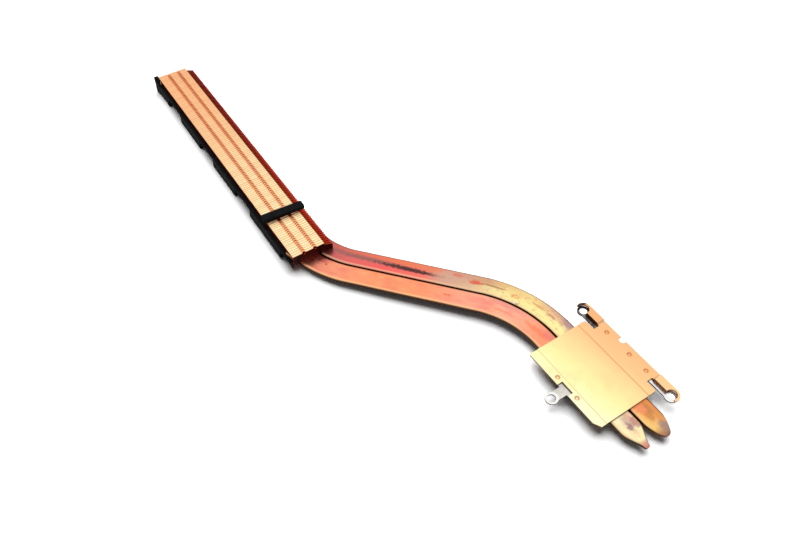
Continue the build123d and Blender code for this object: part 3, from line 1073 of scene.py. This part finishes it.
def settle_foam(piece, lift_at):
    """Makes a foam piece's faces uneven, and moves each point by what lift_at gives, in millimetres."""
    draw_in, lump_height, pit_height = 0.03, 0.04, 0.015
    lump_scale, pit_scale = 0.9, 3.1
    solid = piece.data
    places = [vertex.co / mm for vertex in solid.vertices]
    outward = [vertex.normal.copy() for vertex in solid.vertices]
    settled = []
    for spot, normal in zip(places, outward):
        lump = noise.noise(spot * lump_scale) * lump_height + noise.noise(spot * pit_scale) * pit_height
        settled.extend((spot - normal * (draw_in + lump) + lift_at(spot)) * mm)
    solid.vertices.foreach_set("co", settled)
    solid.polygons.foreach_set("use_smooth", [True] * len(solid.polygons))


black_foam = foam_material()
gasket_low, gasket_high = box_mm("side_gasket")
gasket_depth = gasket_high[0] - gasket_low[0]
backing_depth = 0.48
band_height = 1.0
band_under = gasket_high[2] - band_height
near_tab_start = 107.25
notch_count = 3
first_notch = 135.0
notch_width = 14.0
notch_pitch = 36.7
gasket_outline = [
    (gasket_low[1], gasket_high[2]),
    (gasket_low[1], band_under),
    (near_tab_start, band_under),
    (near_tab_start, gasket_low[2]),
]
for number in range(notch_count):
    notch_start = first_notch + number * notch_pitch
    notch_end = notch_start + notch_width
    gasket_outline += [(notch_start, gasket_low[2]), (notch_start, band_under)]
    gasket_outline += [(notch_end, band_under), (notch_end, gasket_low[2])]
gasket_outline += [(gasket_high[1], gasket_low[2]), (gasket_high[1], gasket_high[2])]
side_plane = Matrix(((0, 0, 1, 0), (1, 0, 0, 0), (0, 1, 0, 0), (0, 0, 0, 1)))
backing_outline = [
    (gasket_low[1], gasket_high[2]),
    (gasket_low[1], gasket_low[2]),
    (gasket_high[1], gasket_low[2]),
    (gasket_high[1], gasket_high[2]),
]
peel_length = 6.5
peel_start = gasket_high[1] - peel_length
peel_rise = 3.2
peel_out = 0.5
foam_tab_flare = 0.4


def gasket_peel(spot):
    """How far a point of the gasket stands out at the foot of a tab, and is peeled up at the far end."""
    outer = (gasket_high[0] - spot.x) / gasket_depth
    past_backing = gasket_high[0] - backing_depth - spot.x
    beyond = min(max(past_backing / (gasket_depth - backing_depth), 0.0), 1.0)
    hanging = smooth_share((band_under - spot.z) / (band_under - gasket_low[2]))
    share = smooth_share((spot.y - peel_start) / (gasket_high[1] - peel_start))
    upper = smooth_share((spot.z - gasket_low[2]) / (gasket_high[2] - gasket_low[2]))
    outward = peel_out * share * outer + foam_tab_flare * beyond * hanging
    return Vector((-outward, 0.0, peel_rise * share * upper))


def bar_rest(spot):
    """The bar lies flat, so none of its points is moved."""
    return Vector((0.0, 0.0, 0.0))


gasket_layers = (
    (gasket_outline, gasket_low[0], gasket_depth),
    (backing_outline, gasket_high[0] - backing_depth, backing_depth),
)
gasket = foam_piece("foam_gasket", gasket_layers, side_plane, cell=0.24)
settle_foam(gasket, gasket_peel)
bar_low, bar_high = box_mm("foam_bar")
bar_half_length = 8.8
bar_half_width = 1.9
bar_corner = 0.6
bar_turn = -4.3
bar_middle = Vector(((bar_low[0] + bar_high[0]) / 2, (bar_low[1] + bar_high[1]) / 2, 0))
bar_place = Matrix.Translation(bar_middle) @ Matrix.Rotation(math.radians(bar_turn), 4, "Z")
bar_outline = []
for corner_x, corner_y, first_turn in ((1, -1, -90), (1, 1, 0), (-1, 1, 90), (-1, -1, 180)):
    for turn in (0, 30, 60, 90):
        angle = math.radians(first_turn + turn)
        x = corner_x * (bar_half_length - bar_corner) + bar_corner * math.cos(angle)
        y = corner_y * (bar_half_width - bar_corner) + bar_corner * math.sin(angle)
        bar_outline.append((x, y))
bar_layers = ((bar_outline, bar_low[2], bar_high[2] - bar_low[2]),)
bar = foam_piece("foam_cross_bar", bar_layers, bar_place, cell=0.16)
settle_foam(bar, bar_rest)
for piece, node in ((gasket, "side_gasket"), (bar, "foam_bar")):
    piece.data.materials.clear()
    piece.data.materials.append(black_foam)
    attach(piece, "root")
    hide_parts(node)

# Table: a plain sheet of white paper that the fin stack lies on.
# It falls away a little under the plate and the bends of the pipes, where the part stands clear of it.
table_half = 4000.0
table_level = cad_box[0][2] / mm
table_falls = (
    (-table_half, 2.0),
    (-31.0, 2.0),
    (0.0, 2.2),
    (30.0, 2.5),
    (70.0, 1.9),
    (100.0, 0.7),
    (140.0, 0.0),
    (table_half, 0.0),
)


def grey(level):
    """A neutral colour at one level."""
    return (level, level, level, 1.0)


def table_material():
    """White paper: it takes soft shadows, and is white to the eye and in the metal's reflections."""
    material, tree, shader = new_material("table_white")
    path = put(tree, "ShaderNodeLightPath").outputs
    mirrored = work(tree, "ADD", path["Is Glossy Ray"], path["Is Transmission Ray"], clamp=True)
    paper = mix_colour(tree, mirrored, grey(0.8), grey(1.1))
    seen_paper = mix_colour(tree, path["Is Camera Ray"], paper, grey(1.4))
    sheet = put(tree, "ShaderNodeBsdfDiffuse", {"Color": seen_paper})
    tree.nodes.remove(shader)
    tree.links.new(sheet.outputs[0], tree.nodes["Material Output"].inputs["Surface"])
    return material


table_points = []
for y, fall in table_falls:
    for x in (-table_half, table_half):
        table_points.append(Vector((x, y, table_level - fall)) * mm)
table_faces = [(2 * row, 2 * row + 1, 2 * row + 3, 2 * row + 2) for row in range(len(table_falls) - 1)]
table_mesh = bpy.data.meshes.new("table")
table_mesh.from_pydata(table_points, [], table_faces)
table = bpy.data.objects.new("table", table_mesh)
bpy.context.collection.objects.link(table)
table.data.materials.append(table_material())

# Light: one wide soft lamp, high behind the part and to its right, and a room for the metal to mirror.
# The room has a bright ceiling that comes down behind the part, and dimmer walls on the other sides.
lamp_way = Vector((0.26, 0.44, 0.8)).normalized()
lamp_data = bpy.data.lights.new("ceiling_lamp", "SUN")
lamp_data.energy = 3.7
lamp_data.angle = math.radians(72)
lamp = bpy.data.objects.new("ceiling_lamp", lamp_data)
bpy.context.collection.objects.link(lamp)
lamp.rotation_euler = lamp_way.to_track_quat("Z", "Y").to_euler()
lamp.visible_glossy = False
ceiling_way = Vector((0.10, 0.25, 0.963)).normalized()
ceiling_edge = (0.45, 0.74)
ceiling_light = 1.06
wall_foot_light = 0.66
wall_top_light = 0.76
wall_top = 0.8
scattered_light = 0.06


def between(tree, share, low, high):
    """A value that goes from low to high by a share."""
    return put(tree, "ShaderNodeMix", {0: share, 2: low, 3: high}, data_type="FLOAT").outputs[0]


room = bpy.data.worlds.new("room")
bpy.context.scene.world = room
room.use_nodes = True
sky = room.node_tree
toward = put(sky, "ShaderNodeTexCoord").outputs["Generated"]
facing = put(sky, "ShaderNodeVectorMath", {0: toward, 1: ceiling_way}, operation="DOT_PRODUCT")
ceiling = rise(sky, facing.outputs["Value"], *ceiling_edge)
wall = {"Value": split(sky, toward)["Z"], "From Min": 0.0, "From Max": wall_top}
wall.update({"To Min": wall_foot_light, "To Max": wall_top_light})
walls = put(sky, "ShaderNodeMapRange", wall).outputs[0]
rays = put(sky, "ShaderNodeLightPath").outputs
mirrored_room = between(sky, ceiling, walls, ceiling_light)
lit = between(sky, rays["Is Diffuse Ray"], mirrored_room, scattered_light)
background = sky.nodes["Background"]
background.inputs["Color"].default_value = grey(1.0)
sky.links.new(between(sky, rays["Is Camera Ray"], lit, 1.0), background.inputs["Strength"])

# Camera: it stands above the plate's front left and looks down along the part, the fins furthest away.
# Its place, turn and lens are those at which the part's straight and square edges were seen.
camera_data = bpy.data.cameras.new("camera")
camera_data.sensor_fit = "HORIZONTAL"
camera_data.sensor_width = 36.0
camera_data.lens = 32.53
camera_data.clip_start = 0.005
camera = bpy.data.objects.new("camera", camera_data)
bpy.context.collection.objects.link(camera)
camera_spot = Vector((-126.205, -75.444, 211.175))
yaw = math.radians(32.80)
pitch = math.radians(50.62)
roll = 0.00928
forward = Vector((math.sin(yaw) * math.cos(pitch), math.cos(yaw) * math.cos(pitch), -math.sin(pitch)))
level_right = Vector((math.cos(yaw), -math.sin(yaw), 0.0))
level_down = forward.cross(level_right)
right = level_right * math.cos(roll) + level_down * math.sin(roll)
up = level_right * math.sin(roll) - level_down * math.cos(roll)
turned = Matrix((right, up, -forward)).transposed().to_4x4()
camera.matrix_world = Matrix.Translation(camera_spot * mm) @ turned
bpy.context.scene.camera = camera
bpy.context.scene.view_settings.view_transform = "Standard"
